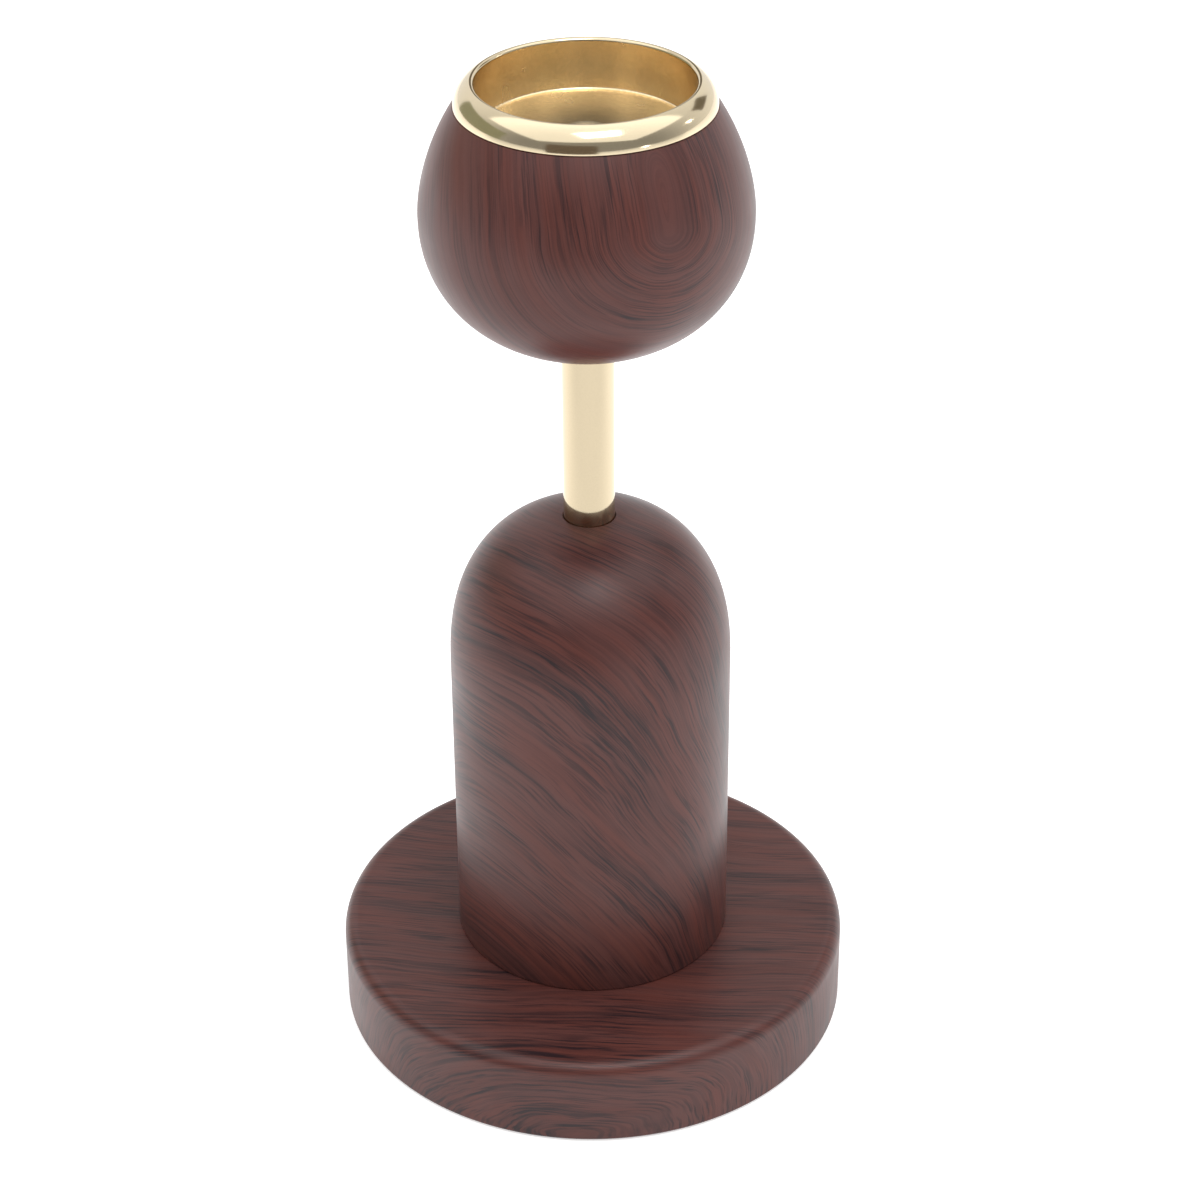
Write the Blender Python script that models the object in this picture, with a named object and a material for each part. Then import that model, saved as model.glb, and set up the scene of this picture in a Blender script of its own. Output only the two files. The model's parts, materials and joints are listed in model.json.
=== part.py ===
"""A wooden candlestick, about 203 mm tall, as the separate pieces it is screwed together from.

A turned base disc, a dome-topped column, a brass tube stem and a turned bowl share one
vertical axis. A long bolt from below clamps base, column and stem together. A small screw in
the candle cup's floor clamps cup, bowl and stem together.

Metres, +Z up. The origin is the middle of the underside, on the surface it stands on.
"""

import math

import bmesh
import bpy

MM = 0.001
GAP = 0.3 * MM                      # air between two neighbouring pieces
SAME_POINT = 0.001 * MM             # points closer than this are one point
CUTTER_OVERSHOOT = 1.0 * MM         # how far a cutter stands out of the piece it cuts
LARGE_ROUND = 64                    # sides round a turned wooden piece or the cup
SMALL_ROUND = 32                    # sides round the stem and the fasteners

# Felt pad, set in a shallow recess under the base
PAD_RADIUS = 46.0 * MM
PAD_THICKNESS = 1.2 * MM
PAD_STANDS_PROUD = 0.2 * MM

# Base disc
BASE_RADIUS = 51.8 * MM
BASE_TOP = 18.6 * MM
BASE_TOP_ROUND = 2.8 * MM
BASE_FOOT_ROUND = 0.5 * MM
MORTISE_DEPTH = 4.3 * MM
COUNTERBORE_RADIUS = 6.5 * MM
COUNTERBORE_TOP = 9.0 * MM

# Column: a cylinder whose dome is a little fuller than an ellipse
COLUMN_RADIUS = 27.8 * MM
DOME_START = 81.4 * MM
DOME_RISE = 32.4 * MM
DOME_FULLNESS = 2.4                 # 2 is an ellipse, more is squarer
TENON_RADIUS = 12.0 * MM
SOCKET_FLOOR = 98.0 * MM            # where the stem's lower end stops

# Stem: a brass tube with a threaded plug in each end
STEM_RADIUS = 5.0 * MM
STEM_WALL = 1.0 * MM
STEM_LENGTH = 70.1 * MM
BUSH_LENGTH = 10.5 * MM
BUSH_FLANGE = 1.5 * MM

# Bowl: two half superellipses that meet at its widest place
BOWL_RADIUS = 30.9 * MM
BOWL_MIDDLE = 177.6 * MM
BOWL_DROP = 26.4 * MM
BOWL_DROP_FULLNESS = 2.2
BOWL_RISE = 36.8 * MM
BOWL_RISE_FULLNESS = 1.76

# Candle cup: one sheet of brass, pressed to a flat floor and rolled over the bowl's edge
RIM_SEAT = 198.2 * MM               # the rim's lowest edge
RIM_RADIUS = 23.9 * MM
RIM_ROLL_WIDTH = 5.9 * MM           # half axes of the ellipse that the rim's outside follows
RIM_ROLL_HEIGHT = 5.3 * MM
RIM_ROLL_END = 60                   # degrees of that ellipse used, up from the rim's lowest edge
CUP_MOUTH_RADIUS = 20.0 * MM
CUP_WALL_FOOT_RADIUS = 19.5 * MM
CUP_CORNER = 0.5 * MM
CUP_FLOOR = 193.2 * MM
CUP_SHEET = 0.8 * MM
DIMPLE_RADIUS = 3.7 * MM            # the cone pressed in the floor for the screw's head

# Fasteners
BOLT_RADIUS = 2.5 * MM
BOLT_LENGTH = 100.0 * MM
BOLT_HEAD_RADIUS = 4.25 * MM
BOLT_HEAD_HEIGHT = 5.0 * MM
BOLT_KEY_RADIUS = 2.3 * MM          # corner radius of the hexagon socket
BOLT_KEY_DEPTH = 2.5 * MM
BOLT_CHAMFER = 0.5 * MM
WASHER_RADIUS = 6.0 * MM
WASHER_THICKNESS = 1.0 * MM
SCREW_RADIUS = 1.5 * MM
SCREW_LENGTH = 30.0 * MM
SCREW_POINT = 0.5 * MM
SCREW_HEAD_RADIUS = 2.75 * MM
SCREW_SUNK = 0.5 * MM               # how far the head lies below the cup's floor
CROSS_ARM = 1.5 * MM
CROSS_WIDTH = 0.6 * MM
CROSS_DEPTH = 0.9 * MM

# Worked out from the above
PAD_RECESS_CEILING = PAD_THICKNESS + GAP
COLUMN_FOOT = BASE_TOP + GAP
MORTISE_FLOOR = BASE_TOP - MORTISE_DEPTH
BOLT_HOLE_RADIUS = BOLT_RADIUS + GAP
SCREW_HOLE_RADIUS = SCREW_RADIUS + GAP
STEM_HOLE_RADIUS = STEM_RADIUS + GAP
STEM_BOTTOM = SOCKET_FLOOR + GAP + BUSH_FLANGE + GAP
STEM_TOP = STEM_BOTTOM + STEM_LENGTH
BOWL_SOCKET_TOP = STEM_TOP + GAP + BUSH_FLANGE + GAP
BOWL_TOP = RIM_SEAT - GAP
SCREW_TOP = CUP_FLOOR - SCREW_SUNK
SLANT = math.sqrt(2.0)              # across a 45 degree cone, against square to its face


# ---- Outlines: lists of (radius, height) points ----

def arc(centre, half_width, half_height, start, end, steps):
    """Points along an ellipse, between two angles in degrees measured up from outwards."""
    points = []
    for step in range(steps + 1):
        angle = math.radians(start + (end - start) * step / steps)
        points.append((centre[0] + half_width * math.cos(angle), centre[1] + half_height * math.sin(angle)))
    return points


def corner(centre, size, start, end, steps):
    """Points of a round corner of the given radius."""
    return arc(centre, size, size, start, end, steps)


def bulge(radius, middle, rise, fullness, narrow, steps):
    """A superellipse from its widest, at height middle, to where its radius has come down to narrow.

    A negative rise runs downwards.
    """
    last = math.acos((narrow / radius) ** (fullness / 2))
    points = []
    for step in range(steps + 1):
        angle = last * step / steps
        across = math.cos(angle) ** (2 / fullness)
        along = math.sin(angle) ** (2 / fullness)
        points.append((radius * across, middle + rise * along))
    return points


def bulge_radius(radius, rise, fullness, height):
    """The radius of a superellipse at a height above its widest place."""
    return radius * (1 - (height / rise) ** fullness) ** (1 / fullness)


# ---- Making solids ----

def finish(name, colour, roughness, metallic):
    """A plain material with the piece's colour and gloss."""
    material = bpy.data.materials.new(name)
    material.use_nodes = True
    shader = material.node_tree.nodes["Principled BSDF"]
    shader.inputs["Base Color"].default_value = (*colour, 1.0)
    shader.inputs["Roughness"].default_value = roughness
    shader.inputs["Metallic"].default_value = metallic
    return material


def add_object(name, shape, material):
    """Turn a bmesh into a named object with round faces shaded smooth."""
    mesh = bpy.data.meshes.new(name)
    shape.to_mesh(mesh)
    shape.free()
    mesh.shade_smooth()
    mesh.set_sharp_from_angle(angle=math.radians(35))
    mesh.materials.append(material)
    piece = bpy.data.objects.new(name, mesh)
    bpy.context.scene.collection.objects.link(piece)
    return piece


def turned(name, outline, sides, material):
    """Spin an outline once round the axis. One that starts and ends on the axis stays open there."""
    shape = bmesh.new()
    corners = [shape.verts.new((radius, 0.0, height)) for radius, height in outline]
    solid_core = outline[0][0] == 0.0 and outline[-1][0] == 0.0
    following = corners[1:] if solid_core else corners[1:] + corners[:1]
    edges = [shape.edges.new(pair) for pair in zip(corners, following)]
    bmesh.ops.spin(shape, geom=corners + edges, cent=(0, 0, 0), axis=(0, 0, 1),
                   angle=math.tau, steps=sides, use_merge=True)
    bmesh.ops.remove_doubles(shape, verts=shape.verts, dist=SAME_POINT)
    bmesh.ops.recalc_face_normals(shape, faces=shape.faces)
    return add_object(name, shape, material)


def prism(shape, sides, radius, bottom, top):
    """Add an upright prism with the given number of sides to a bmesh."""
    made = bmesh.ops.create_cone(shape, cap_ends=True, segments=sides, radius1=radius, radius2=radius,
                                 depth=top - bottom)
    bmesh.ops.translate(shape, verts=made["verts"], vec=(0, 0, (top + bottom) / 2))


def bar(shape, length, width, bottom, top):
    """Add a bar that lies along X to a bmesh."""
    made = bmesh.ops.create_cube(shape, size=1.0)
    bmesh.ops.scale(shape, verts=made["verts"], vec=(length, width, top - bottom))
    bmesh.ops.translate(shape, verts=made["verts"], vec=(0, 0, (top + bottom) / 2))


def cut(piece, cutter):
    """Cut one object out of another, and keep the cutter as a wire guide."""
    cutter.hide_render = True
    cutter.display_type = "WIRE"
    boolean = piece.modifiers.new("recess", "BOOLEAN")
    boolean.operation = "DIFFERENCE"
    boolean.solver = "EXACT"
    boolean.object = cutter


# ---- The pieces, from the table upwards ----

def make_felt_pad(felt):
    outline = [(0.0, 0.0), (PAD_RADIUS, 0.0), (PAD_RADIUS, PAD_THICKNESS), (0.0, PAD_THICKNESS)]
    turned("felt_pad", outline, LARGE_ROUND, felt)


def make_base_disc(wood):
    recess = PAD_RADIUS + GAP
    foot = corner((BASE_RADIUS - BASE_FOOT_ROUND, PAD_STANDS_PROUD + BASE_FOOT_ROUND),
                  BASE_FOOT_ROUND, -90, 0, 2)
    shoulder = corner((BASE_RADIUS - BASE_TOP_ROUND, BASE_TOP - BASE_TOP_ROUND), BASE_TOP_ROUND, 0, 90, 6)
    mortise = TENON_RADIUS + GAP
    outline = [(recess, PAD_STANDS_PROUD), *foot, *shoulder,
               (mortise, BASE_TOP), (mortise, MORTISE_FLOOR),
               (BOLT_HOLE_RADIUS, MORTISE_FLOOR), (BOLT_HOLE_RADIUS, COUNTERBORE_TOP),
               (COUNTERBORE_RADIUS, COUNTERBORE_TOP), (COUNTERBORE_RADIUS, PAD_RECESS_CEILING),
               (recess, PAD_RECESS_CEILING)]
    turned("base_disc", outline, LARGE_ROUND, wood)


def make_column(wood):
    dome = bulge(COLUMN_RADIUS, DOME_START, DOME_RISE, DOME_FULLNESS, STEM_HOLE_RADIUS, 14)
    tenon_end = MORTISE_FLOOR + GAP
    outline = [(BOLT_HOLE_RADIUS, tenon_end), (TENON_RADIUS, tenon_end), (TENON_RADIUS, COLUMN_FOOT),
               (COLUMN_RADIUS, COLUMN_FOOT), *dome,
               (STEM_HOLE_RADIUS, SOCKET_FLOOR), (BOLT_HOLE_RADIUS, SOCKET_FLOOR)]
    turned("column", outline, LARGE_ROUND, wood)


def make_tie_washer(steel):
    top = COUNTERBORE_TOP - GAP
    bottom = top - WASHER_THICKNESS
    outline = [(BOLT_HOLE_RADIUS, bottom), (WASHER_RADIUS, bottom), (WASHER_RADIUS, top),
               (BOLT_HOLE_RADIUS, top)]
    turned("tie_washer", outline, SMALL_ROUND, steel)


def make_tie_bolt(steel):
    seat = COUNTERBORE_TOP - GAP - WASHER_THICKNESS - GAP
    bottom = seat - BOLT_HEAD_HEIGHT
    outline = [(0.0, bottom), (BOLT_HEAD_RADIUS - BOLT_CHAMFER, bottom), (BOLT_HEAD_RADIUS, bottom + BOLT_CHAMFER),
               (BOLT_HEAD_RADIUS, seat), (BOLT_RADIUS, seat),
               (BOLT_RADIUS, seat + BOLT_LENGTH - BOLT_CHAMFER),
               (BOLT_RADIUS - BOLT_CHAMFER, seat + BOLT_LENGTH), (0.0, seat + BOLT_LENGTH)]
    bolt = turned("tie_bolt", outline, SMALL_ROUND, steel)
    key = bmesh.new()
    prism(key, 6, BOLT_KEY_RADIUS, bottom - CUTTER_OVERSHOOT, bottom + BOLT_KEY_DEPTH)
    cut(bolt, add_object("bolt_key_cutter", key, steel))


def make_stem_tube(brass):
    bore = STEM_RADIUS - STEM_WALL
    outline = [(bore, STEM_BOTTOM), (STEM_RADIUS, STEM_BOTTOM), (STEM_RADIUS, STEM_TOP), (bore, STEM_TOP)]
    turned("stem_tube", outline, 2 * SMALL_ROUND, brass)


def make_stem_bush(name, tube_end, outwards, hole, brass):
    """A flanged plug: its flange closes the tube's end, outwards is +1 at the top and -1 below."""
    plug = STEM_RADIUS - STEM_WALL - GAP
    flange_face = tube_end + outwards * GAP
    outer_face = flange_face + outwards * BUSH_FLANGE
    inner_end = tube_end - outwards * BUSH_LENGTH
    outline = [(hole, outer_face), (STEM_RADIUS, outer_face), (STEM_RADIUS, flange_face),
               (plug, flange_face), (plug, inner_end), (hole, inner_end)]
    turned(name, outline, SMALL_ROUND, brass)


def make_bowl(wood):
    lower = bulge(BOWL_RADIUS, BOWL_MIDDLE, -BOWL_DROP, BOWL_DROP_FULLNESS, STEM_HOLE_RADIUS, 14)
    edge = bulge_radius(BOWL_RADIUS, BOWL_RISE, BOWL_RISE_FULLNESS, BOWL_TOP - BOWL_MIDDLE)
    upper = bulge(BOWL_RADIUS, BOWL_MIDDLE, BOWL_RISE, BOWL_RISE_FULLNESS, edge, 8)
    pocket = CUP_MOUTH_RADIUS + CUP_SHEET + GAP
    pocket_floor = CUP_FLOOR - CUP_SHEET - GAP
    sink_radius = dimple_radius_at(pocket_floor) + (CUP_SHEET + GAP) * SLANT
    sink_foot = pocket_floor - (sink_radius - SCREW_HOLE_RADIUS)
    outline = [*reversed(lower), *upper[1:], (pocket, BOWL_TOP), (pocket, pocket_floor),
               (sink_radius, pocket_floor), (SCREW_HOLE_RADIUS, sink_foot),
               (SCREW_HOLE_RADIUS, BOWL_SOCKET_TOP), (STEM_HOLE_RADIUS, BOWL_SOCKET_TOP)]
    turned("bowl", outline, LARGE_ROUND, wood)


def dimple_radius_at(height):
    """The radius of the cone pressed in the cup's floor, whose sides slope at 45 degrees."""
    return DIMPLE_RADIUS - (CUP_FLOOR - height)


def rim_inner_edge(start, steps):
    """The small round from the end of the rim's roll to the cup's mouth, tangent to both."""
    end = math.radians(RIM_ROLL_END)
    facing = math.atan2(math.sin(end) / RIM_ROLL_HEIGHT, math.cos(end) / RIM_ROLL_WIDTH)
    size = (start[0] - CUP_MOUTH_RADIUS) / (1 + math.cos(facing))
    centre = (start[0] - size * math.cos(facing), start[1] - size * math.sin(facing))
    return corner(centre, size, math.degrees(facing), 180, steps)


def make_candle_cup(brass):
    roll = arc((RIM_RADIUS - RIM_ROLL_WIDTH, RIM_SEAT), RIM_ROLL_WIDTH, RIM_ROLL_HEIGHT,
               0, RIM_ROLL_END, 7)
    inner_edge = rim_inner_edge(roll[-1], 4)
    floor_corner = corner((CUP_WALL_FOOT_RADIUS - CUP_CORNER, CUP_FLOOR + CUP_CORNER), CUP_CORNER, 0, -90, 3)
    dimple_foot = CUP_FLOOR - (DIMPLE_RADIUS - SCREW_HOLE_RADIUS)
    across = CUP_SHEET / SLANT
    under_floor = CUP_FLOOR - CUP_SHEET
    under_dimple = dimple_radius_at(under_floor) + CUP_SHEET * SLANT
    skirt = CUP_MOUTH_RADIUS + CUP_SHEET
    under_crown = roll[-1][1] - 2 * CUP_SHEET
    outline = [*roll, *inner_edge[1:], *floor_corner, (DIMPLE_RADIUS, CUP_FLOOR),
               (SCREW_HOLE_RADIUS, dimple_foot), (SCREW_HOLE_RADIUS + across, dimple_foot - across),
               (under_dimple, under_floor), (CUP_WALL_FOOT_RADIUS, under_floor),
               (skirt, CUP_FLOOR + CUP_SHEET), (skirt, under_crown),
               (RIM_RADIUS - 2 * CUP_SHEET, RIM_SEAT + CUP_SHEET), (RIM_RADIUS - CUP_SHEET, RIM_SEAT)]
    turned("candle_cup", outline, LARGE_ROUND, brass)


def make_cup_screw(brass):
    neck = SCREW_TOP - (SCREW_HEAD_RADIUS - SCREW_RADIUS)
    tip = SCREW_TOP - SCREW_LENGTH
    outline = [(0.0, tip), (SCREW_RADIUS - SCREW_POINT, tip), (SCREW_RADIUS, tip + SCREW_POINT), (SCREW_RADIUS, neck),
               (SCREW_HEAD_RADIUS, SCREW_TOP), (0.0, SCREW_TOP)]
    screw = turned("cup_screw", outline, SMALL_ROUND, brass)
    for turn, name in ((0.0, "cross_cutter_a"), (math.pi / 2, "cross_cutter_b")):
        arm = bmesh.new()
        bar(arm, 2 * CROSS_ARM, CROSS_WIDTH, SCREW_TOP - CROSS_DEPTH, SCREW_TOP + CUTTER_OVERSHOOT)
        cutter = add_object(name, arm, brass)
        cutter.rotation_euler.z = turn
        cut(screw, cutter)


def main():
    for old in list(bpy.data.objects):
        bpy.data.objects.remove(old, do_unlink=True)
    wood = finish("rosewood_stained_wood", (0.171, 0.070, 0.058), 0.45, 0.0)
    brass = finish("polished_brass", (0.85, 0.68, 0.38), 0.12, 1.0)
    steel = finish("zinc_plated_steel", (0.62, 0.62, 0.63), 0.30, 1.0)
    felt = finish("black_felt", (0.02, 0.02, 0.022), 0.95, 0.0)
    make_felt_pad(felt)
    make_base_disc(wood)
    make_tie_washer(steel)
    make_tie_bolt(steel)
    make_column(wood)
    make_stem_bush("lower_bush", STEM_BOTTOM, -1, BOLT_HOLE_RADIUS, brass)
    make_stem_tube(brass)
    make_stem_bush("upper_bush", STEM_TOP, 1, SCREW_HOLE_RADIUS, brass)
    make_bowl(wood)
    make_candle_cup(brass)
    make_cup_screw(brass)


main()
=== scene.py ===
# %% [markdown]
# # A wooden candlestick with a brass stem
#
# The candlestick is a stack of round pieces on one upright axis: a base disc, a column with a
# domed top, a thin brass tube, and a wooden bowl that holds a brass cup for a small candle.
# Nearly every piece of the real one is made on a lathe, and so is nearly every piece here: a half
# section is drawn once and spun round the axis. The grain is then painted through the solid wood,
# as it lies in a real block, so it runs over every edge without a seam.

# %% Load the fixed frame
import json
import math

import bmesh
import bpy
from mathutils import Matrix, Vector


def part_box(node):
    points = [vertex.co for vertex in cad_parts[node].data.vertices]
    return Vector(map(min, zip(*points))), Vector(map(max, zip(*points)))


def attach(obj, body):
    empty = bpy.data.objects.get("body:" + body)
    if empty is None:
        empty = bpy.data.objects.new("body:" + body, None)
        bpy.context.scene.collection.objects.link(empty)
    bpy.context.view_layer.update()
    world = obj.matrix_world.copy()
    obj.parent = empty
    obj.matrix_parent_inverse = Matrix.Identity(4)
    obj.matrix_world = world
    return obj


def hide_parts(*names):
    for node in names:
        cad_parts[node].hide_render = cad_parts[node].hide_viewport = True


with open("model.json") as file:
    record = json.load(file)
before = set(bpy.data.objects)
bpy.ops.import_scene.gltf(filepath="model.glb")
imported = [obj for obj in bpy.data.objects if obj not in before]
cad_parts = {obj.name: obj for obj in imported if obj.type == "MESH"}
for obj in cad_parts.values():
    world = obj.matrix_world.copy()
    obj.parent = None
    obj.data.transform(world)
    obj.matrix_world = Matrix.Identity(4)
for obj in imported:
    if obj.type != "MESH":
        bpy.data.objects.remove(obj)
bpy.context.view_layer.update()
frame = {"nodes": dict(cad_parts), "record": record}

MM = 0.001
print("pieces in the frame:", sorted(frame["nodes"]))

# %% [markdown]
# ## The camera
#
# A short telephoto lens stands a little over half a metre away and looks down on the candlestick
# by about a third of a right angle, so the mouth of the cup and the top of the base both show.
# The camera could be turned towards an empty with a constraint. Its place is given instead,
# because a look-down angle, a distance and a height to aim at are easier to adjust one by one.
# A hand-held camera is never quite level, so it also leans by half a degree.

# %% Set up the camera
LENS = 91.9
LOOK_DOWN = math.radians(31.54)
AIM_HEIGHT = 94.1 * MM
CAMERA_DISTANCE = 602.2 * MM
CAMERA_LEAN = math.radians(-0.5)
AXIS_LEFT_OF_MIDDLE = 0.0083        # as a share of the picture's width

aim = Vector((0, 0, AIM_HEIGHT))
backwards = Vector((0, -math.cos(LOOK_DOWN), math.sin(LOOK_DOWN)))
camera_data = bpy.data.cameras.new("camera")
camera_data.lens = LENS
camera_data.shift_x = AXIS_LEFT_OF_MIDDLE
camera = bpy.data.objects.new("camera", camera_data)
camera.matrix_world = (Matrix.Translation(aim + CAMERA_DISTANCE * backwards)
                       @ Matrix.Rotation(math.pi / 2 - LOOK_DOWN, 4, "X")
                       @ Matrix.Rotation(CAMERA_LEAN, 4, "Z"))
bpy.context.scene.collection.objects.link(camera)
bpy.context.scene.camera = camera
print("camera at", [round(value, 3) for value in camera.location])

# %% [markdown]
# ## Building with nodes
#
# A finish or a light's colour is a small machine of nodes. Adding and wiring each one takes three
# lines, which hides what the machine does, so one helper adds a node and sets or wires its inputs.
# The others build on it: arithmetic, soft noise, a fade between two levels, and a new material.

# %% Node helpers
def add(tree, kind, inputs=None, **settings):
    """Add a node. An input is either a value or another node's output."""
    node = tree.nodes.new("ShaderNode" + kind)
    for name, value in settings.items():
        setattr(node, name, value)
    for name, value in (inputs or {}).items():
        if isinstance(value, bpy.types.NodeSocket):
            tree.links.new(value, node.inputs[name])
        else:
            node.inputs[name].default_value = value
    return node


def sums(tree, operation, first, second=0.0):
    """The result of one arithmetic step."""
    return add(tree, "Math", {0: first, 1: second}, operation=operation).outputs[0]


def noise(tree, vector, scale, detail=2.0, roughness=0.5, distortion=0.0):
    """Soft random variation from 0 to 1, with about one swell for each unit of length over the scale."""
    return add(tree, "TexNoise", {"Vector": vector, "Scale": scale, "Detail": detail,
                                  "Roughness": roughness, "Distortion": distortion}).outputs["Fac"]


def ramp(tree, value, low, high, to_low=0.0, to_high=1.0):
    """Fade smoothly between two levels of a value."""
    return add(tree, "MapRange", {"Value": value, "From Min": low, "From Max": high, "To Min": to_low,
                                  "To Max": to_high}, interpolation_type="SMOOTHSTEP").outputs["Result"]


def new_finish(name):
    """A material, its node tree and its shader."""
    material = bpy.data.materials.new(name)
    material.use_nodes = True
    return material, material.node_tree, material.node_tree.nodes["Principled BSDF"]


# %% [markdown]
# ## The table
#
# A product studio is mostly white, and the table here is a sheet of white acrylic that is lit from
# below. It glows more towards the back, so the shadow almost disappears there, and the bowl's
# underside gets light. A lamp under a translucent sheet would do the same. A shader that gives off
# light is quicker to render and easier to adjust.

# %% Lay the floor
FLOOR_SIZE = 8.0
WHITE_ACRYLIC = (0.82, 0.82, 0.82, 1)
GLOW_FRONT, GLOW_BACK = 0.30, 0.74      # light that comes up through the table
GLOW_FROM, GLOW_TO = -0.22, 0.15        # metres from front to back over which it grows


def flat_sheet(name, width, depth, finish):
    """A flat sheet of studio equipment round the origin, in one finish."""
    shape = bmesh.new()
    bmesh.ops.create_grid(shape, x_segments=1, y_segments=1, size=0.5)
    bmesh.ops.scale(shape, verts=shape.verts, vec=(width, depth, 1))
    mesh = bpy.data.meshes.new(name)
    shape.to_mesh(mesh)
    shape.free()
    mesh.materials.append(finish)
    sheet = bpy.data.objects.new(name, mesh)
    bpy.context.scene.collection.objects.link(sheet)
    return sheet


acrylic, table, surface = new_finish("lit_acrylic")
surface.inputs["Base Color"].default_value = WHITE_ACRYLIC
surface.inputs["Roughness"].default_value = 0.9
surface.inputs["Specular IOR Level"].default_value = 0.1
surface.inputs["Emission Color"].default_value = (1, 1, 1, 1)
place_on_table = add(table, "SeparateXYZ", {"Vector": add(table, "TexCoord").outputs["Object"]})
glow = ramp(table, place_on_table.outputs["Y"], GLOW_FROM, GLOW_TO, GLOW_FRONT, GLOW_BACK)
table.links.new(glow, surface.inputs["Emission Strength"])
flat_sheet("floor", FLOOR_SIZE, FLOOR_SIZE, acrylic)
print("floor:", FLOOR_SIZE, "m square")

# %% [markdown]
# ## The room
#
# The room is a world colour: white behind the object and much darker on the camera's side, as when
# a lit backdrop is the main light. That gives every round piece two pale edges and a deeper middle.
# The lens itself sees plain white. It could be a painted dome or a picture of a room, but one fade
# from front to back keeps the light easy to read.

# %% Paint the room
ROOM_WHITE = 1.0                    # what the lens sees beyond the table
BACKDROP, ROOM_FRONT = 1.0, 0.32    # what the object gets from behind and from the camera's side
FADE_FROM, FADE_TO = -0.6, 0.8      # how far back a direction points where the fade starts and ends

world = bpy.data.worlds.new("studio")
bpy.context.scene.world = world
world.use_nodes = True
air = world.node_tree
way = add(air, "SeparateXYZ", {"Vector": add(air, "TexCoord").outputs["Generated"]})
around = ramp(air, way.outputs["Y"], FADE_FROM, FADE_TO, ROOM_FRONT, BACKDROP)
seen_by_lens = add(air, "LightPath").outputs["Is Camera Ray"]
strength = add(air, "Mix", {"Factor": seen_by_lens, "A": around, "B": ROOM_WHITE})
room = air.nodes["Background"]
room.inputs["Color"].default_value = (1, 1, 1, 1)
air.links.new(strength.outputs["Result"], room.inputs["Strength"])

# %% [markdown]
# ## The lamps
#
# A wide diffuser hangs over the camera's side of the table and lights every top. A softbox just
# below it gives the dome its soft highlight. Two very small lamps at the right are for the rim, in
# which each one shows as a glint. All are area lamps, because a point lamp casts a hard shadow.

# %% Hang the lamps
MIDDLE = (0, 0, 0.11)
RIM = (0, 0, 0.2)


def facing(place, look_at):
    """The matrix of something that stands at a place and looks at another."""
    direction = Vector(look_at) - Vector(place)
    return Matrix.Translation(place) @ direction.to_track_quat("-Z", "Y").to_matrix().to_4x4()


def soft_light(name, place, look_at, width, height, watts):
    """A rectangular lamp that points at a place."""
    data = bpy.data.lights.new(name, "AREA")
    data.shape = "RECTANGLE"
    data.size = width
    data.size_y = height
    data.energy = watts
    lamp = bpy.data.objects.new(name, data)
    lamp.matrix_world = facing(place, look_at)
    bpy.context.scene.collection.objects.link(lamp)


soft_light("overhead_diffuser", (0, -0.45, 1.2), (0, -0.45, 0), 2.6, 1.8, 13.5)
soft_light("key_softbox", (0.14, -0.42, 1.1), MIDDLE, 0.45, 0.35, 2.4)
soft_light("window_glint", (0.65, 0.125, 0.42), RIM, 0.06, 0.05, 0.08)
soft_light("lamp_glint", (0.53, -0.45, 0.15), RIM, 0.05, 0.05, 0.07)

# %% [markdown]
# ## Cards for the brass to mirror
#
# Polished brass shows whatever is round it, and an all-white room would leave it flat. Four cards
# stand for the darker things in a real room: the camera and whoever holds it, a doorway, a cupboard
# and the far wall. They are hidden from the lens, from diffuse light and from shadows, so only
# mirrors and gloss can see them.

# %% Stand the cards
def reflected_card(name, place, look_at, width, height, colour):
    """A card that only mirrors and gloss can see."""
    paint, _, shader = new_finish(name)
    shader.inputs["Base Color"].default_value = (*colour, 1)
    card = flat_sheet(name, width, height, paint)
    card.matrix_world = facing(place, look_at)
    card.visible_camera = False
    card.visible_diffuse = False
    card.visible_shadow = False


reflected_card("camera_side_card", (-0.13, -0.62, 0.26), (0, 0, 0.26), 0.50, 0.42, (0.10, 0.075, 0.055))
reflected_card("doorway_card", (-0.60, 0.16, 0.33), RIM, 0.75, 0.34, (0.26, 0.27, 0.19))
reflected_card("cupboard_card", (0.50, 0.44, 0.48), RIM, 0.26, 0.20, (0.13, 0.11, 0.08))
reflected_card("far_card", (0, 0.50, 0.40), RIM, 0.22, 0.16, (0.12, 0.10, 0.07))

# %% [markdown]
# ## Drawing half sections
#
# A turned piece is known by half of its cross-section. Here that is a wire of edges in the XZ plane.
# Only true corners are typed in, each with the radius it is rounded to, and a vertex bevel rounds
# them. A curve object and a Screw modifier would do the same, but a mesh is easier to measure.

# %% Draw a half section
ROUND_STEPS = 12


def half_section(corners):
    """A wire from (radius, height, rounding) corners in millimetres.
    It closes on itself unless it starts on the axis."""
    wire = bmesh.new()
    points = [wire.verts.new((radius * MM, 0, height * MM)) for radius, height, _ in corners]
    open_at_axis = corners[0][0] == 0
    following = points[1:] if open_at_axis else points[1:] + points[:1]
    for start, end in zip(points, following):
        wire.edges.new((start, end))
    for point, (_, _, rounding) in zip(points, corners):
        if rounding:
            bmesh.ops.bevel(wire, geom=[point], affect="VERTICES", offset=rounding * MM,
                            segments=ROUND_STEPS, profile=0.5, material=-1)
    return wire


def curve(points):
    """Points of a smooth stretch, which need no rounding."""
    return [(radius, height, 0) for radius, height in points]


# %% [markdown]
# ## The lathe
#
# Spinning a half section once round makes the solid. The last ring of points is merged with the
# first, and a section that ends on the axis gets its points there merged to one. A spin can turn a
# shape inside out, so its faces are then pointed outwards again. Each piece takes its outer sizes
# from its node in the frame, so it can't drift away from the solid it stands for.

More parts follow.
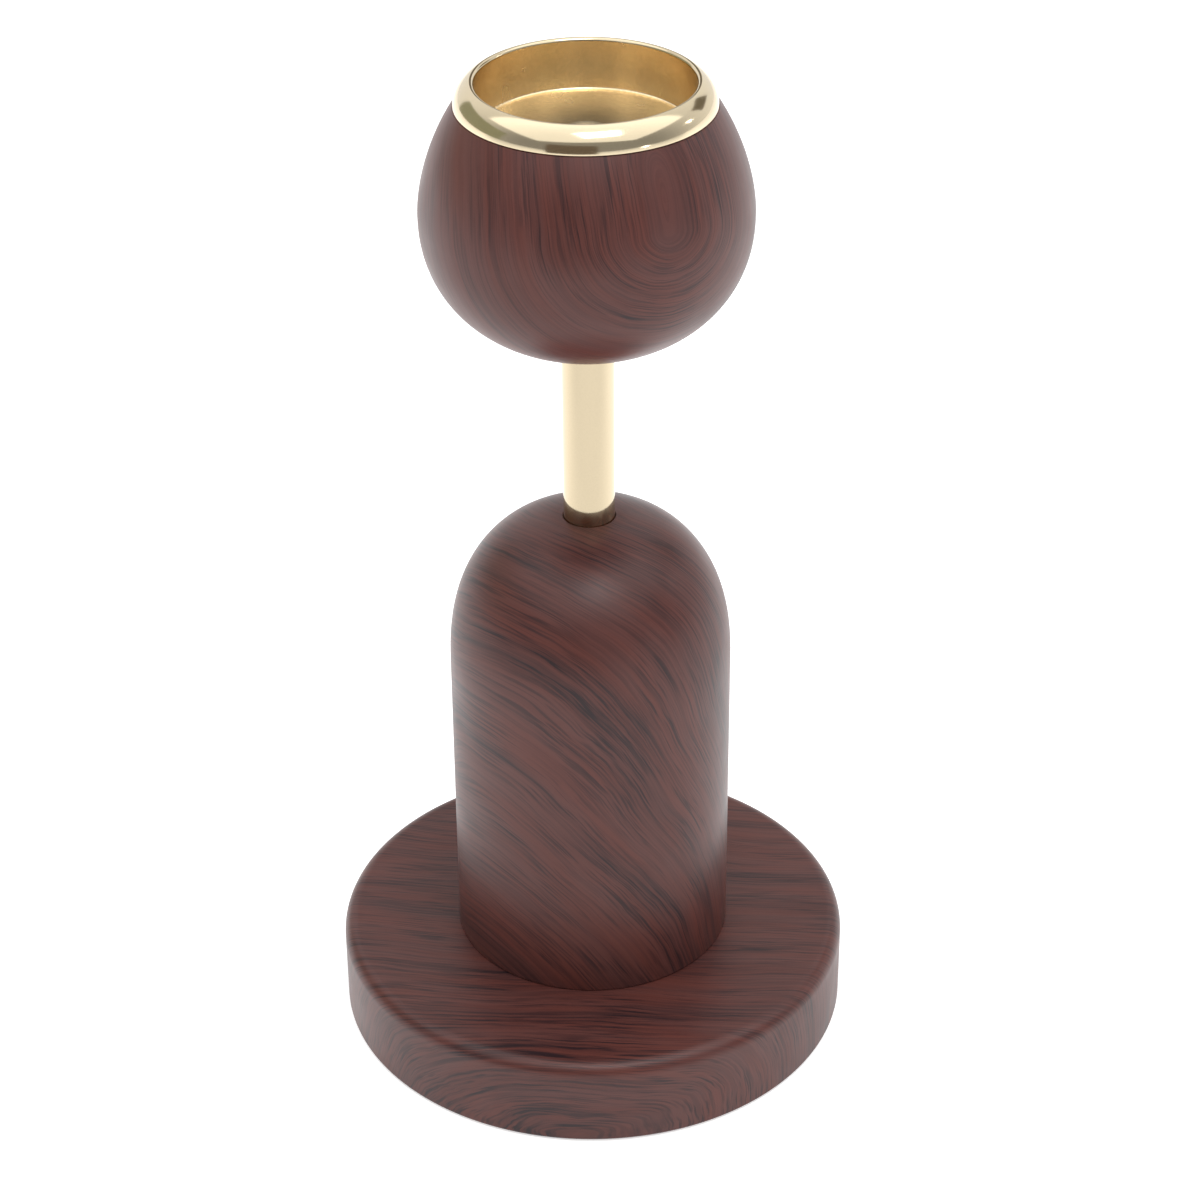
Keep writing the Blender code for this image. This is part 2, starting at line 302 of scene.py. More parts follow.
# %% Spin a section
LATHE_STEPS = 256
SAME_POINT = 0.0005                 # points of one solid this near each other are merged
SHARP_ABOVE = math.radians(30)


def to_object(name, shape):
    """A bmesh made into an object with smooth round faces and sharp edges."""
    mesh = bpy.data.meshes.new(name)
    shape.to_mesh(mesh)
    shape.free()
    mesh.shade_smooth()
    mesh.set_sharp_from_angle(angle=SHARP_ABOVE)
    piece = bpy.data.objects.new(name, mesh)
    bpy.context.scene.collection.objects.link(piece)
    print(f"{name}: {len(mesh.polygons)} faces")
    return piece


def lathe(name, wire, steps=LATHE_STEPS):
    """A solid of revolution from a half section."""
    bmesh.ops.spin(wire, geom=wire.verts[:] + wire.edges[:], cent=(0, 0, 0), axis=(0, 0, 1),
                   angle=math.tau, steps=steps, use_merge=True)
    bmesh.ops.remove_doubles(wire, verts=wire.verts, dist=SAME_POINT * MM)
    bmesh.ops.recalc_face_normals(wire, faces=wire.faces)
    return to_object(name, wire)


def extent(node):
    """A CAD node's radius, lowest and highest height, in millimetres."""
    low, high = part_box(node)
    return high.x / MM, low.z / MM, high.z / MM


# %% [markdown]
# ## The base
#
# The base is a disc turned from a flat board, with a generous round on its upper edge, which
# catches a thin line of light. Underneath it has a recess for the felt pad and a counterbore for
# the tie bolt's head. The column's tenon drops into a mortise in its top. All of that is in
# the half section, so the piece is complete when it is taken off and turned over.

# %% Turn the base
HAIR, SNUG, LOOSE = 0.02, 0.05, 0.1     # air between faces that touch, and round pieces that slide in
SUPPORT = 0.4                           # a second ring this near a rounding keeps the flat beside it flat
BASE_EDGE_ROUND = 2.8
BASE_FOOT_ROUND = 0.6
PAD_GAP = 0.15
WASHER_GAP = 0.5
MORTISE_RADIUS, MORTISE_DEPTH = 12.1, 4.3
BOLT_HOLE = 2.6

base_radius, base_foot, base_top = extent("base_disc")
pad_radius, pad_foot, pad_top = extent("felt_pad")
washer_radius, _, washer_top = extent("tie_washer")
recess_radius = pad_radius + PAD_GAP
recess_ceiling = pad_top + HAIR
mortise_floor = base_top - MORTISE_DEPTH
counterbore = washer_radius + WASHER_GAP

base = lathe("base", half_section([
    (recess_radius, base_foot, 0.25),
    (base_radius - 2 * BASE_FOOT_ROUND, base_foot, 0),
    (base_radius, base_foot, BASE_FOOT_ROUND),
    (base_radius, base_foot + 2 * BASE_FOOT_ROUND, 0),
    (base_radius, base_top - BASE_EDGE_ROUND - SUPPORT, 0),
    (base_radius, base_top, BASE_EDGE_ROUND),
    (base_radius - BASE_EDGE_ROUND - SUPPORT, base_top, 0),
    (MORTISE_RADIUS, base_top, 0.3),
    (MORTISE_RADIUS, mortise_floor, 0),
    (BOLT_HOLE, mortise_floor, 0),
    (BOLT_HOLE, washer_top + SNUG, 0),
    (counterbore, washer_top + SNUG, 0),
    (counterbore, recess_ceiling, 0.2),
    (recess_radius, recess_ceiling, 0),
]))

# %% [markdown]
# ## The column
#
# The column is turned from one block with a dome that is a little fuller than half an ellipse. That
# swelling is drawn with a superellipse: the same sine and cosine as an ellipse, each raised to a
# power, so that one number sets how full the curve is. Its foot has a tiny chamfer, which draws the
# fine dark line where it meets the base.

# %% Draw a swelling curve
CURVE_STEPS = 40


def left_over(share, fullness):
    """How much of one half-axis is left where a superellipse has gone a share of the other."""
    return (1 - share ** fullness) ** (1 / fullness)


def swelling(radius, middle, rise, fullness, narrow):
    """A superellipse from its widest place to where its radius is narrow. A negative rise runs down."""
    last = math.acos((narrow / radius) ** (fullness / 2))
    points = []
    for step in range(CURVE_STEPS + 1):
        angle = last * step / CURVE_STEPS
        points.append((radius * math.cos(angle) ** (2 / fullness),
                       middle + rise * math.sin(angle) ** (2 / fullness)))
    return points


# %% Turn the column
DOME_RISE = 32.4
DOME_FULLNESS = 2.4
FOOT_CHAMFER = 0.25
CAD_EASE = 0.3                      # air that the frame's solids leave round the stem
SOCKET_EASE = 0.06                  # the closer fit that shows
SOCKET_CHAMFER = 0.15
SOCKET_FLOOR = 98.0

stem_radius, stem_foot, stem_top = extent("stem_tube")
column_radius, tenon_foot, column_top = extent("column")
socket = stem_radius + SOCKET_EASE
cad_socket = stem_radius + CAD_EASE
tenon = MORTISE_RADIUS - LOOSE
column_foot = base_top + HAIR
dome_start = column_top - DOME_RISE * left_over(cad_socket / column_radius, DOME_FULLNESS)
dome = swelling(column_radius, dome_start, DOME_RISE, DOME_FULLNESS, socket + SOCKET_CHAMFER)

column = lathe("domed_column", half_section([
    (BOLT_HOLE, tenon_foot, 0),
    (tenon, tenon_foot, 0.3),
    (tenon, column_foot, 0),
    (column_radius - FOOT_CHAMFER, column_foot, 0),
    (column_radius, column_foot + FOOT_CHAMFER, 0),
    (column_radius, column_foot + FOOT_CHAMFER + SUPPORT, 0),
    *curve(dome),
    (socket, dome[-1][1] - SOCKET_CHAMFER, 0),
    (socket, SOCKET_FLOOR, 0),
    (BOLT_HOLE, SOCKET_FLOOR, 0),
]))

# %% [markdown]
# ## The stem
#
# A stock brass tube, sawn to length and polished. Its ends hide in the two sockets. A mirror finish
# shows every flat of a coarse cylinder, so it is spun from its wall section with many steps.

# %% Draw the stem
TUBE_WALL = 1.0
BORE_ROUND, END_ROUND = 0.15, 0.3

tube_bore = stem_radius - TUBE_WALL
stem = lathe("stem", half_section([
    (tube_bore, stem_foot, BORE_ROUND),
    (stem_radius, stem_foot, END_ROUND),
    (stem_radius, stem_top, END_ROUND),
    (tube_bore, stem_top, BORE_ROUND),
]))

# %% [markdown]
# ## The bowl
#
# The bowl is egg-shaped: a full curve below its widest place and a slimmer one above, so it is two
# superellipses that meet there. Its top is cut flat for the cup's rim, with a pocket for the cup, a
# small countersink for the pressed dimple, a hole for the screw and the stem's socket below.

# %% Turn the bowl
BOWL_DROP, BOWL_DROP_FULLNESS = 26.4, 2.2
BOWL_RISE, BOWL_RISE_FULLNESS = 36.8, 1.76
CUP_MOUTH = 20.0
CUP_SHEET = 0.8
RIM_ABOVE_BOWL = 0.3
COUNTERSINK = 4.6
SCREW_HOLE = 1.7

bowl_radius, bowl_foot, bowl_top = extent("bowl")
_, _, bush_top = extent("upper_bush")
mounts = {mount["name"]: mount for mount in frame["record"]["mounts"]}
cup_floor = mounts["candle_seat"]["pos_m"][2] / MM
rim_seat = bowl_top + RIM_ABOVE_BOWL
seat = rim_seat - HAIR
bowl_middle = bowl_foot + BOWL_DROP * left_over(cad_socket / bowl_radius, BOWL_DROP_FULLNESS)
seat_radius = bowl_radius * left_over((seat - bowl_middle) / BOWL_RISE, BOWL_RISE_FULLNESS)
lower_curve = swelling(bowl_radius, bowl_middle, -BOWL_DROP, BOWL_DROP_FULLNESS, socket + SOCKET_CHAMFER)
upper_curve = swelling(bowl_radius, bowl_middle, BOWL_RISE, BOWL_RISE_FULLNESS, seat_radius)
pocket = CUP_MOUTH + CUP_SHEET + LOOSE
pocket_floor = cup_floor - CUP_SHEET - SNUG
print(f"bowl: widest at {bowl_middle:.1f} mm, {2 * seat_radius:.1f} mm across at the rim")

bowl = lathe("bowl_of_wood", half_section([
    *curve(reversed(lower_curve)),
    *curve(upper_curve[1:]),
    (pocket, seat, 0),
    (pocket, pocket_floor, 0),
    (COUNTERSINK, pocket_floor, 0),
    (SCREW_HOLE, pocket_floor - (COUNTERSINK - SCREW_HOLE), 0),
    (SCREW_HOLE, bush_top + LOOSE, 0),
    (socket, bush_top + LOOSE, 0),
    (socket, lower_curve[-1][1] + SOCKET_CHAMFER, 0),
]))

# %% [markdown]
# ## The candle cup
#
# The cup is one sheet of brass. It is pressed into a flat-bottomed dish, and its edge is rolled out
# and down over the bowl. Seen in section the roll follows part of an ellipse, which ends in a small
# round at the mouth and in a turned-in lip at the bottom. The outside is polished and the inside is
# left satin, so every face inside the mouth gets a second material.

# %% Press the cup
ROLL_WIDTH, ROLL_HEIGHT = 5.9, 5.3
ROLL_START, ROLL_END = 5, 60        # degrees of the ellipse that show
LIP = 0.75                          # how far the roll's lower edge turns in
WALL_FOOT = 19.5
FLOOR_CORNER = 0.5
DIMPLE = 3.7
DIMPLE_SUPPORT = 1.0                # the floor is flat up to this far from the dimple
SCREW_CLEAR = 1.8
UNDER_CONE = 0.55                   # the sheet is drawn a little thinner where it is pressed
ARC_STEPS = 24


def arc(middle, width, height, first, last):
    """Points along an ellipse between two angles in degrees, measured up from outwards."""
    turns = [math.radians(first + (last - first) * step / ARC_STEPS) for step in range(ARC_STEPS + 1)]
    return [(middle[0] + width * math.cos(turn), middle[1] + height * math.sin(turn)) for turn in turns]


rim_radius, _, rim_top = extent("candle_cup")
roll = arc((rim_radius - ROLL_WIDTH, rim_seat), ROLL_WIDTH, ROLL_HEIGHT, ROLL_START, ROLL_END)
roll_top = roll[-1]
end = math.radians(ROLL_END)
outward = math.atan2(math.sin(end) / ROLL_HEIGHT, math.cos(end) / ROLL_WIDTH)
edge_round = (roll_top[0] - CUP_MOUTH) / (1 + math.cos(outward))
edge_middle = (roll_top[0] - edge_round * math.cos(outward), roll_top[1] - edge_round * math.sin(outward))
mouth_edge = arc(edge_middle, edge_round, edge_round, math.degrees(outward), 180)
skirt = CUP_MOUTH + CUP_SHEET
under_floor = cup_floor - CUP_SHEET
cone_foot = cup_floor - (DIMPLE - SCREW_CLEAR)

cup = lathe("candle_cup_brass", half_section([
    (rim_radius - LIP, rim_seat, 0.2),
    (rim_radius, rim_seat, 0.3),
    *curve(roll),
    *curve(mouth_edge[1:]),
    (WALL_FOOT, cup_floor, FLOOR_CORNER),
    (WALL_FOOT - FLOOR_CORNER - SUPPORT, cup_floor, 0),
    (DIMPLE + DIMPLE_SUPPORT, cup_floor, 0),
    (DIMPLE, cup_floor, 0.5),
    (SCREW_CLEAR, cone_foot, 0),
    (SCREW_CLEAR + UNDER_CONE, cone_foot - UNDER_CONE, 0),
    (DIMPLE + 0.3, under_floor, 0.5),
    (WALL_FOOT + 0.3, under_floor, 0.8),
    (skirt, cup_floor + 2 * CUP_SHEET, 0),
    (skirt, roll_top[1] - 2 * CUP_SHEET, 0.8),
    (rim_radius - 2 * CUP_SHEET, rim_seat + CUP_SHEET, 0.5),
]))
SATIN_BELOW = edge_middle[1]
print(f"cup: mouth {2 * CUP_MOUTH:.0f} mm across, {rim_top - cup_floor:.1f} mm deep")

# %% [markdown]
# ## The cup screw
#
# A small countersunk screw sits just below the cup's floor. Its cross recess is cut by two tapered
# bars. The recess could be modelled face by face, but a real one is punched into a finished head,
# and a boolean cut does just that. The cutter is then thrown away.

# %% Make the screw
SCREW_SHANK = 1.5
POINT_NARROWING, POINT_LENGTH = 0.5, 0.7
SCREW_STEPS = 96
CROSS_ARM, CROSS_WIDTH, CROSS_DEPTH = 3.0, 0.62, 0.9
CROSS_TAPER = 0.45                  # the recess's length at its bottom, as a share of its top
CROSS_TURNS = (20, 110)             # degrees


def punch(piece, cutter):
    """Cut one object out of another, keep the result and delete the cutter."""
    boolean = piece.modifiers.new("punch", "BOOLEAN")
    boolean.operation = "DIFFERENCE"
    boolean.solver = "EXACT"
    boolean.object = cutter
    bpy.context.view_layer.update()
    result = piece.evaluated_get(bpy.context.evaluated_depsgraph_get())
    piece.data = bpy.data.meshes.new_from_object(result)
    piece.modifiers.clear()
    bpy.data.objects.remove(cutter)
    piece.data.set_sharp_from_angle(angle=SHARP_ABOVE)


screw_radius, screw_tip, screw_top = extent("cup_screw")
screw = lathe("recessed_screw", half_section([
    (0, screw_tip, 0),
    (SCREW_SHANK - POINT_NARROWING, screw_tip, 0),
    (SCREW_SHANK, screw_tip + POINT_LENGTH, 0),
    (SCREW_SHANK, screw_top - (screw_radius - SCREW_SHANK), 0),
    (screw_radius, screw_top, 0.15),
    (0, screw_top, 0),
]), steps=SCREW_STEPS)
for turn in CROSS_TURNS:
    bar = bmesh.new()
    bmesh.ops.create_cube(bar, size=1)
    lower_end = [corner for corner in bar.verts if corner.co.z < 0]
    bmesh.ops.scale(bar, verts=lower_end, vec=(CROSS_TAPER, 1, 1))
    bmesh.ops.translate(bar, verts=bar.verts, vec=(0, 0, 0.5))
    bmesh.ops.scale(bar, verts=bar.verts, vec=(CROSS_ARM * MM, CROSS_WIDTH * MM, 2 * CROSS_DEPTH * MM))
    bmesh.ops.rotate(bar, verts=bar.verts, matrix=Matrix.Rotation(math.radians(turn), 3, "Z"))
    bmesh.ops.translate(bar, verts=bar.verts, vec=(0, 0, (screw_top - CROSS_DEPTH) * MM))
    punch(screw, to_object("cross_cutter", bar))

# %% [markdown]
# ## The felt pad
#
# A disc of pressed felt is stuck into the recess under the base, so that the wood doesn't scratch
# the table. It is cut with a punch, which leaves its lower edge slightly rounded.

# %% Cut the pad
PAD_EDGE_ROUND = 0.35
PAD_STEPS = 192

pad = lathe("felt_disc", half_section([
    (0, pad_foot, 0),
    (pad_radius, pad_foot, PAD_EDGE_ROUND),
    (pad_radius, pad_top, 0),
    (0, pad_top, 0),
]), steps=PAD_STEPS)

# %% [markdown]
# ## How grain lies in a block
#
# A tree grows in rings, so its grain is a solid thing. Far from the pith the rings are nearly flat
# planes, and near it they are cylinders. The lines that show on a turned piece are where its skin
# cuts those layers, so the arches on the base's side and the swirl on the bowl need no drawing.
# Object coordinates are simply places inside the candlestick, so the pattern has no seams. The
# function below turns a place into three lengths in the block, in millimetres: how far it is from
# the pith, how far round it and how far along it.

# %% Ring layers
RING_RADIUS = 40.0                  # the distance from the pith at which lengths round it are true


def ring_layers(tree, pith, along, towards, cap=None, cap_pull=1.0, behind=0.0):
    """Layers round a pith that runs along a direction, with zero round it towards a place.
    The layers may close over, like the end of a finger, below a height along the pith. The way
    round may be measured from a line behind the pith, so that it changes slowly near it."""
    length = Vector(along).normalized()
    inward = Vector(towards) - Vector(pith)
    inward = (inward - length * inward.dot(length)).normalized()
    turn = Matrix((inward, length.cross(inward), length)).transposed().to_euler()
    place = add(tree, "TexCoord").outputs["Object"]
    local = add(tree, "Mapping", {"Vector": place, "Location": Vector(pith) * MM, "Rotation": turn,
                                  "Scale": (MM, MM, MM)}, vector_type="TEXTURE").outputs["Vector"]
    x, y, z = add(tree, "SeparateXYZ", {"Vector": local}).outputs
    reach = sums(tree, "ADD", sums(tree, "MULTIPLY", x, x), sums(tree, "MULTIPLY", y, y))
    if cap is not None:
        past = sums(tree, "MULTIPLY", sums(tree, "MINIMUM", sums(tree, "SUBTRACT", z, cap), 0.0), cap_pull)
        reach = sums(tree, "ADD", reach, sums(tree, "MULTIPLY", past, past))
    angle = sums(tree, "ARCTAN2", y, sums(tree, "ADD", x, behind))
    around = sums(tree, "MULTIPLY", angle, RING_RADIUS)
    return add(tree, "CombineXYZ", {"X": sums(tree, "SQRT", reach), "Y": around, "Z": z}).outputs["Vector"]


# %% [markdown]
# ## The wood's figure
#
# Dark red-brown wood under a satin lacquer. Three kinds of mark make its figure, from coarse to
# fine: soft bands about five millimetres wide, growth lines about half a millimetre wide, and short
# dark hairs, the pores, which come in patches. All are the same noise, squeezed across the layers
# and stretched along them. Before that the layers are pushed about by a slow noise and a quick one,
# because no tree grows straight. Near the pith the figure fades, as young wood is even.

# %% Mix the wood
PALE_WOOD = (0.112, 0.038, 0.032, 1)
RED_WOOD = (0.120, 0.034, 0.026, 1)
DARK_WOOD = (0.016, 0.0075, 0.010, 1)

# Each mark: swells per millimetre across, round and along the layers, the noise's detail and
# roughness, the two levels it fades in between, and its weakest strength.
BANDS = ((0.22, 0.022, 0.022), 2.0, 0.55, 0.40, 0.68, 0.0)
LINES = ((2.0, 0.028, 0.028), 3.0, 0.64, 0.41, 0.62, 0.0)
HAIRS = ((3.6, 0.09, 0.09), 1.0, 0.6, 0.47, 0.62, 0.0)
PATCHES = ((0.30, 0.06, 0.06), 2.0, 0.5, 0.38, 0.62, 0.2)
HUES = ((0.35, 0.05, 0.03), 2.0, 0.5, 0.35, 0.65, 0.0)
SLOW_PUSH, QUICK_PUSH = (0.022, 0.020, 0.020), (0.10, 0.09, 0.07)
QUICK_WANDER = 1.2
LINE_DEPTH, LINE_DEPTH_IN_BANDS, HAIR_DEPTH, BAND_DEPTH = 0.26, 0.28, 0.56, 0.20
PITH_DEPTH, PITH_FROM, PITH_TO = 0.3, 1.0, 8.0      # how the figure fades near the pith
NEAR_TO, FAR_FROM = 10.0, 36.0                      # where the near strength ends and the far one starts
DARKEST = 0.96
HANDLING, LACQUER_PEEL = 60.0, 900.0                # swells per metre
SMOOTHEST, ROUGHEST = 0.34, 0.42                    # the lacquer's roughness, as hands have left it
PEEL_HEIGHT, PORE_DEPTH = 0.25, 0.35


def stretched(tree, grain, scales):
    """Grain coordinates, scaled across the layers, round the pith and along it."""
    return add(tree, "VectorMath", {0: grain, 1: scales}, operation="MULTIPLY").outputs[0]


def mark(tree, grain, scales, detail, roughness, low, high, weakest):
    """One kind of mark in the wood, from its weakest strength to 1."""
    return ramp(tree, noise(tree, stretched(tree, grain, scales), 1.0, detail, roughness), low, high, weakest)


def wandering(tree, grain, scales, detail, distance):
    """How far the layers are pushed aside, in millimetres."""
    swing = sums(tree, "SUBTRACT", noise(tree, stretched(tree, grain, scales), 1.0, detail), 0.5)
    return sums(tree, "MULTIPLY", swing, distance)


def figure(tree, block, grain, near, far):
    """How dark the wood is at a place, from 0 to nearly 1."""
    bands = mark(tree, grain, *BANDS)
    in_bands = sums(tree, "MULTIPLY", bands, LINE_DEPTH_IN_BANDS)
    lines = sums(tree, "MULTIPLY", mark(tree, grain, *LINES), sums(tree, "ADD", in_bands, LINE_DEPTH))
    hairs = sums(tree, "MULTIPLY", mark(tree, grain, *HAIRS), mark(tree, grain, *PATCHES))
    fine = sums(tree, "ADD", lines, sums(tree, "MULTIPLY", hairs, HAIR_DEPTH))
    marks = sums(tree, "ADD", fine, sums(tree, "MULTIPLY", bands, BAND_DEPTH))
    from_pith = add(tree, "SeparateXYZ", {"Vector": block}).outputs["X"]
    strength = sums(tree, "MULTIPLY", ramp(tree, from_pith, PITH_FROM, PITH_TO, PITH_DEPTH, 1.0),
                    ramp(tree, from_pith, NEAR_TO, FAR_FROM, near, far))
    return sums(tree, "MINIMUM", sums(tree, "MULTIPLY", marks, strength), DARKEST)


def wood_finish(name, layers, wander, near, far, shift):
    """Lacquered dark wood. wander bends the layers, near and far say how deep the figure is a
    centimetre from the pith and well away from it, and shift picks the block."""
    material, tree, shader = new_finish(name)
    block = layers(tree)
    grain = add(tree, "VectorMath", {0: block, 1: shift}, operation="ADD").outputs[0]
    push = add(tree, "CombineXYZ", {"X": sums(tree, "ADD", wandering(tree, grain, SLOW_PUSH, 1.0, wander),
                                              wandering(tree, grain, QUICK_PUSH, 2.0, QUICK_WANDER))})
    grain = add(tree, "VectorMath", {0: grain, 1: push.outputs["Vector"]}, operation="ADD").outputs[0]
    dark = figure(tree, block, grain, near, far)
    lit_wood = add(tree, "MixRGB", {"Fac": mark(tree, grain, *HUES), "Color1": PALE_WOOD,
                                    "Color2": RED_WOOD}).outputs["Color"]
    colour = add(tree, "MixRGB", {"Fac": dark, "Color1": lit_wood, "Color2": DARK_WOOD}).outputs["Color"]
    tree.links.new(colour, shader.inputs["Base Color"])

    shader.inputs["Specular IOR Level"].default_value = 0.40
    place = add(tree, "TexCoord").outputs["Object"]
    handled = noise(tree, place, HANDLING, 3.0)
    tree.links.new(ramp(tree, handled, 0.3, 0.7, SMOOTHEST, ROUGHEST), shader.inputs["Roughness"])
    peel = sums(tree, "MULTIPLY", noise(tree, place, LACQUER_PEEL, 2.0), PEEL_HEIGHT)
    relief = sums(tree, "SUBTRACT", peel, sums(tree, "MULTIPLY", dark, PORE_DEPTH))
    bump = add(tree, "Bump", {"Height": relief, "Strength": 0.12, "Distance": 0.15 * MM})
    tree.links.new(bump.outputs["Normal"], shader.inputs["Normal"])
    return material


def base_layers(tree):
    """The base's block was cut beside its pith, which ran from side to side in front of it."""
    return ring_layers(tree, (0, -64.6, -1.8), (0.99, -0.13, 0.07), (0, 0, 10))


def column_layers(tree):
    """The column's block stood leaning, with its pith a good way behind it to the right."""
    return ring_layers(tree, (64, 40, 38), (-0.42, -0.165, 0.89), (0, 0, 60))


def bowl_layers(tree):
    """The bowl has its pith just under its skin, where the layers close over a buried branch."""
    return ring_layers(tree, (14, -26, 180), (-0.05, 0.14, 1), (0, 0, 180),
                       cap=5.0, cap_pull=1.15, behind=30.0)


base_wood = wood_finish("base_wood", base_layers, 7.0, 1.15, 0.90, (3, 1, 2))
column_wood = wood_finish("column_wood", column_layers, 9.0, 0.92, 0.92, (41, 7, 12))
bowl_wood = wood_finish("bowl_wood", bowl_layers, 4.5, 0.95, 0.50, (11, 31, 20))
print("wood finishes:", base_wood.name, column_wood.name, bowl_wood.name)

# %% [markdown]
# ## Brass
#
# One metal in three states. The rim is polished, with a breath of haze over its mirror. The stem is
# drawn tube, smoother still, with its tone painted a little darker as shade. Inside, the cup is left
# satin: fine pits spread each reflection, and painted shade darkens its floor towards the middle. A
# slow waviness that no buffing wheel takes out is in all three.

# %% Mix the brass
BRASS = (0.74, 0.625, 0.43)
# The stem's brass is the rim's brass made about a fifth darker, as painted shade.
SHADED_BRASS = (0.605, 0.508, 0.352)
GILT = (0.89, 0.715, 0.45)
HAZE, PITS, WAVES = 120.0, 2600.0, 150.0    # swells per metre
HAZE_SHARE = 0.3                            # how much less the haze shows than the pits
BLUR_SHARE = 0.06                           # how much the roughness varies with the haze
# where the painted shade on the satin brass is full, and where it has faded out
PAINTED_SHADE_INSIDE, PAINTED_SHADE_TO = 2.0, 18.5            # millimetres from the axis


def unevenness(tree, value, low, high, amount):
    """A factor round 1 that a noise drives up and down by an amount."""
    return ramp(tree, value, low, high, 1.0 - amount, 1.0 + amount)


def brass_finish(name, tone, roughness, mottle, painted_shade=None):
    """Brass of a tone and mean roughness. mottle is how uneven it is, and painted_shade darkens it
    towards the axis with painted shade, down to a share of its tone."""
    material, tree, shader = new_finish(name)
    shader.inputs["Metallic"].default_value = 1.0
    place = add(tree, "TexCoord").outputs["Object"]
    haze = noise(tree, place, HAZE, 3.0)
    pits = noise(tree, place, PITS, 1.0)
    shade = sums(tree, "MULTIPLY", unevenness(tree, haze, 0.32, 0.68, HAZE_SHARE * mottle),
                 unevenness(tree, pits, 0.3, 0.7, mottle))
    # painted shade: the brass gets darker towards the axis
    if painted_shade is not None:
        flat = add(tree, "VectorMath", {0: place, 1: (1, 1, 0)}, operation="MULTIPLY").outputs[0]
        reach = add(tree, "VectorMath", {0: flat}, operation="LENGTH").outputs["Value"]
        shade = sums(tree, "MULTIPLY", shade, ramp(tree, reach, PAINTED_SHADE_INSIDE * MM, PAINTED_SHADE_TO * MM, painted_shade, 1.0))
    tint = add(tree, "VectorMath", {0: tone, "Scale": shade}, operation="SCALE").outputs[0]
    tree.links.new(tint, shader.inputs["Base Color"])
    blur = sums(tree, "MULTIPLY", unevenness(tree, haze, 0.3, 0.7, BLUR_SHARE), roughness)
    tree.links.new(blur, shader.inputs["Roughness"])
    ripple = noise(tree, place, WAVES, 1.0)
    wavy = add(tree, "Bump", {"Height": ripple, "Strength": 0.03, "Distance": 0.5 * MM})
    pitted = add(tree, "Bump", {"Height": pits, "Strength": 0.5, "Distance": 0.1 * mottle * MM,
                                "Normal": wavy.outputs["Normal"]})
    tree.links.new(pitted.outputs["Normal"], shader.inputs["Normal"])
    return material


polished_brass = brass_finish("polished_brass", BRASS, 0.13, 0.01)
# the stem's darker tone is painted shade
shaded_drawn_brass = brass_finish("shaded_drawn_brass", SHADED_BRASS, 0.06, 0.01)
# the satin brass inside the cup has painted shade towards the middle of its floor
satin_brass = brass_finish("satin_brass", GILT, 0.26, 0.08, painted_shade=0.28)
print("brass finishes:", polished_brass.name, shaded_drawn_brass.name, satin_brass.name)

# %% [markdown]
# ## Steel and felt
#
# The washer and bolt are zinc plated, with a faint crystalline mottle. The felt is nearly black:
# tangled fibres at two sizes, a soft sheen and a rough surface.

# %% Mix the steel and the felt
GREY_ZINC, PALE_ZINC = (0.60, 0.61, 0.63, 1), (0.72, 0.72, 0.70, 1)
DEEP_FELT, PALE_FELT = (0.006, 0.006, 0.007, 1), (0.035, 0.034, 0.036, 1)
ZINC_FLAKES, FIBRES, CLUMPS = 1400.0, 1500.0, 260.0     # per metre


def zinc_finish():
    """Zinc plate over steel."""
    material, tree, shader = new_finish("zinc_plate")
    shader.inputs["Metallic"].default_value = 1.0
    place = add(tree, "TexCoord").outputs["Object"]
    flakes = add(tree, "TexVoronoi", {"Vector": place, "Scale": ZINC_FLAKES}).outputs["Distance"]
    tint = add(tree, "MixRGB", {"Fac": flakes, "Color1": GREY_ZINC, "Color2": PALE_ZINC}).outputs["Color"]
    tree.links.new(tint, shader.inputs["Base Color"])
    tree.links.new(ramp(tree, flakes, 0.0, 0.8, 0.24, 0.38), shader.inputs["Roughness"])
    return material


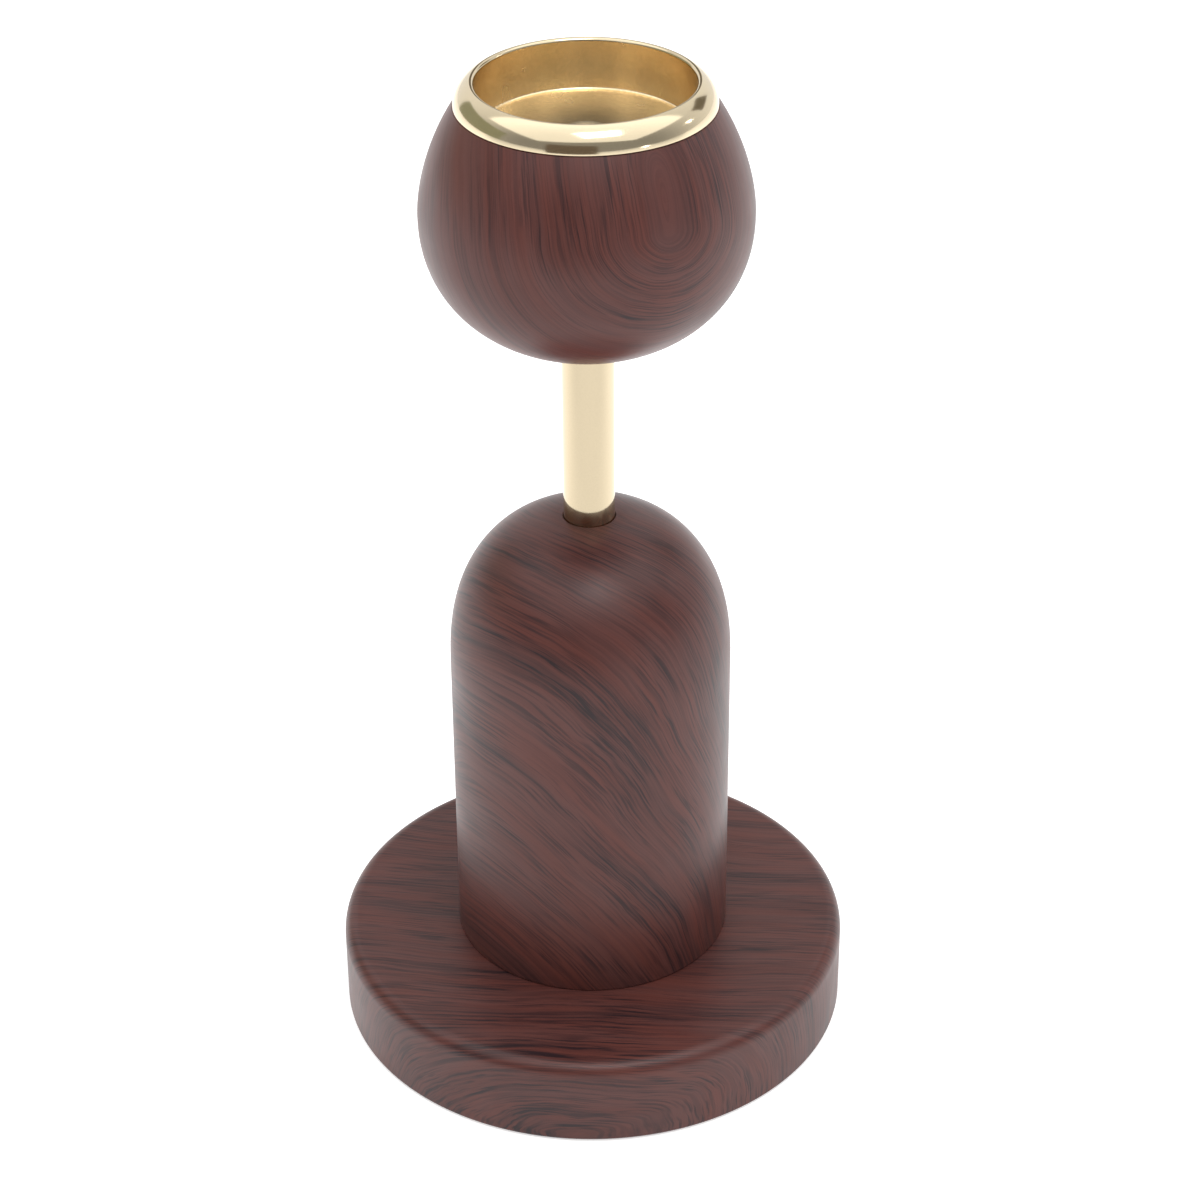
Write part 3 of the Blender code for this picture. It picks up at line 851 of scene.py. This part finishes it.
def felt_finish():
    """Black pressed felt."""
    material, tree, shader = new_finish("black_felt")
    shader.inputs["Sheen Weight"].default_value = 0.5
    shader.inputs["Sheen Roughness"].default_value = 0.6
    shader.inputs["Specular IOR Level"].default_value = 0.2
    place = add(tree, "TexCoord").outputs["Object"]
    tangle = noise(tree, place, FIBRES, 4.0, 0.7, 1.5)
    clumps = noise(tree, place, CLUMPS, 3.0, 0.6)
    fluff = sums(tree, "ADD", sums(tree, "MULTIPLY", tangle, 0.6), sums(tree, "MULTIPLY", clumps, 0.4))
    tint = add(tree, "MixRGB", {"Fac": fluff, "Color1": DEEP_FELT, "Color2": PALE_FELT}).outputs["Color"]
    tree.links.new(tint, shader.inputs["Base Color"])
    tree.links.new(ramp(tree, fluff, 0.3, 0.7, 0.85, 1.0), shader.inputs["Roughness"])
    bump = add(tree, "Bump", {"Height": fluff, "Strength": 0.8, "Distance": 0.2 * MM})
    tree.links.new(bump.outputs["Normal"], shader.inputs["Normal"])
    return material


zinc_plate = zinc_finish()
black_felt = felt_finish()
print("other finishes:", zinc_plate.name, black_felt.name)

# %% [markdown]
# ## Putting it together
#
# Each new piece stands for one solid of the fixed frame and is given its finishes.
# The bushes, washer and bolt are hidden inside the wood, so their plain solids stay and only get a
# finish.

# %% Dress the pieces
MOUTH_MARGIN = 0.02                 # so that faces exactly at the mouth's radius count as inside

dressed = [
    (base, "base_disc", "wood", [base_wood]),
    (column, "column", "wood", [column_wood]),
    (stem, "stem_tube", "brass", [shaded_drawn_brass]),
    (bowl, "bowl", "wood", [bowl_wood]),
    (cup, "candle_cup", "brass", [polished_brass, satin_brass]),
    (screw, "cup_screw", "brass", [satin_brass]),
    (pad, "felt_pad", "felt", [black_felt]),
]
for piece, node, slot, finishes in dressed:
    piece.data.materials.clear()
    for finish in finishes:
        piece.data.materials.append(finish)
    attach(piece, "root")
    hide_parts(node)
for face in cup.data.polygons:
    inside = math.hypot(face.center.x, face.center.y) < (CUP_MOUTH + MOUTH_MARGIN) * MM
    face.material_index = int(inside and face.center.z < SATIN_BELOW * MM)
hidden = {"lower_bush": satin_brass, "upper_bush": satin_brass,
          "tie_bolt": zinc_plate, "tie_washer": zinc_plate}
for node, finish in hidden.items():
    mesh = frame["nodes"][node].data
    mesh.materials.clear()
    mesh.materials.append(finish)
print("dressed", len(dressed), "pieces and", len(hidden), "hidden ones")

# %% [markdown]
# ## Exposure
#
# The picture is shown without a film-like curve, so that the white table stays white.

# %% Finish
bpy.context.scene.view_settings.view_transform = "Standard"
